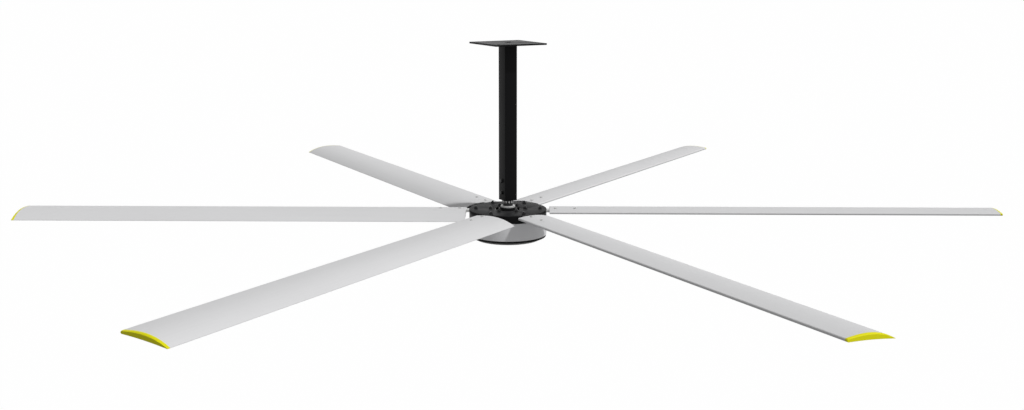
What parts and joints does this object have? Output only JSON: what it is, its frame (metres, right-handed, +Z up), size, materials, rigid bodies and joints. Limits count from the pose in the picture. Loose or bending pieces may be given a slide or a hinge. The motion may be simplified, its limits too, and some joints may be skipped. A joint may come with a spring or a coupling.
{
  "type": "high volume low speed ceiling fan",
  "caption": "Large ceiling fan with long hollow blades bolted to a direct drive hub motor, hung from a square plate on a square drop tube.",
  "frame": {"origin": "centre of the ceiling plate's top face, where it meets the roof beam", "axes": "+Z up and along the rotor's axis; X and Y along the sides of the ceiling plate and drop tube"},
  "size_m": [4.389, 4.88, 0.975],
  "materials": {
    "black_powder_coat": "black powder coat on steel and castings, satin",
    "dark_plate": "dark grey powder coat, fine texture, satin",
    "spun_aluminium": "spun aluminium with a glossy clear finish",
    "blade_aluminium": "silver anodised extrusion, satin",
    "machined_steel": "turned and zinc plated steel",
    "black_oxide_steel": "black oxide fasteners",
    "cast_aluminium": "as cast",
    "core_steel": "laminated electrical steel",
    "enamelled_copper": "enamelled copper wire, taped and varnished",
    "magnet_nickel": "nickel plated magnets",
    "seal_rubber": "matt",
    "yellow_plastic": "moulded, satin",
    "bearing_brass": "machined cage",
    "bearing_steel": "ground"
  },
  "bodies": {
    "hanger": {"ceiling_plate": "black_powder_coat", "drop_tube": "black_powder_coat", "tube_plug": "machined_steel", "tube_bolts": "black_oxide_steel", "tube_nuts": "black_oxide_steel", "tube_washers": "black_oxide_steel", "motor_shaft": "machined_steel", "shaft_collar": "machined_steel", "shaft_spacer": "black_oxide_steel", "lock_nut": "machined_steel", "foot_nut": "machined_steel", "stator_carrier": "cast_aluminium", "carrier_key": "machined_steel", "carrier_circlip": "machined_steel", "stator_core": "core_steel", "stator_coils": "enamelled_copper", "upper_bearing_inner_ring": "bearing_steel", "lower_bearing_inner_ring": "bearing_steel"},
    "rotor": {"hub_body": "black_powder_coat", "hub_cover_plate": "dark_plate", "bearing_cap": "black_powder_coat", "bearing_cap_screws": "black_oxide_steel", "shaft_seal": "seal_rubber", "motor_neck": "black_powder_coat", "neck_screws": "black_oxide_steel", "motor_housing": "spun_aluminium", "rotor_yoke": "core_steel", "rotor_magnets": "magnet_nickel", "bottom_cover": "black_powder_coat", "bottom_cover_screws": "black_oxide_steel", "strut_bolts": "black_oxide_steel", "strut_nuts": "black_oxide_steel", "strut_washers": "black_oxide_steel", "blade_bolts": "machined_steel", "blade_nuts": "machined_steel", "upper_bearing_outer_ring": "bearing_steel", "lower_bearing_outer_ring": "bearing_steel", "strut_1": "machined_steel", "strut_2": "machined_steel", "strut_3": "machined_steel", "strut_4": "machined_steel", "strut_5": "machined_steel", "strut_6": "machined_steel", "blade_1": "blade_aluminium", "blade_2": "blade_aluminium", "blade_3": "blade_aluminium", "blade_4": "blade_aluminium", "blade_5": "blade_aluminium", "blade_6": "blade_aluminium", "tip_cap_1": "yellow_plastic", "tip_cap_2": "yellow_plastic", "tip_cap_3": "yellow_plastic", "tip_cap_4": "yellow_plastic", "tip_cap_5": "yellow_plastic", "tip_cap_6": "yellow_plastic"},
    "upper_rollers": {"upper_bearing_rollers": "bearing_steel", "upper_bearing_cage": "bearing_brass"},
    "lower_rollers": {"lower_bearing_rollers": "bearing_steel", "lower_bearing_cage": "bearing_brass"}
  },
  "joints": [
    {"name": "rotor_spin", "type": "hinge", "parent": "hanger", "child": "rotor", "pos_m": [0, 0, -0.842], "axis": [0, 0, 1], "continuous": true},
    {"name": "upper_rollers_spin", "type": "hinge", "parent": "hanger", "child": "upper_rollers", "pos_m": [0, 0, -0.842], "axis": [0, 0, 1], "continuous": true},
    {"name": "lower_rollers_spin", "type": "hinge", "parent": "hanger", "child": "lower_rollers", "pos_m": [0, 0, -0.842], "axis": [0, 0, 1], "continuous": true}
  ],
  "couplings": [
    {"joint": "upper_rollers_spin", "follows": "rotor_spin", "ratio": 0.58},
    {"joint": "lower_rollers_spin", "follows": "rotor_spin", "ratio": 0.584}
  ]
}
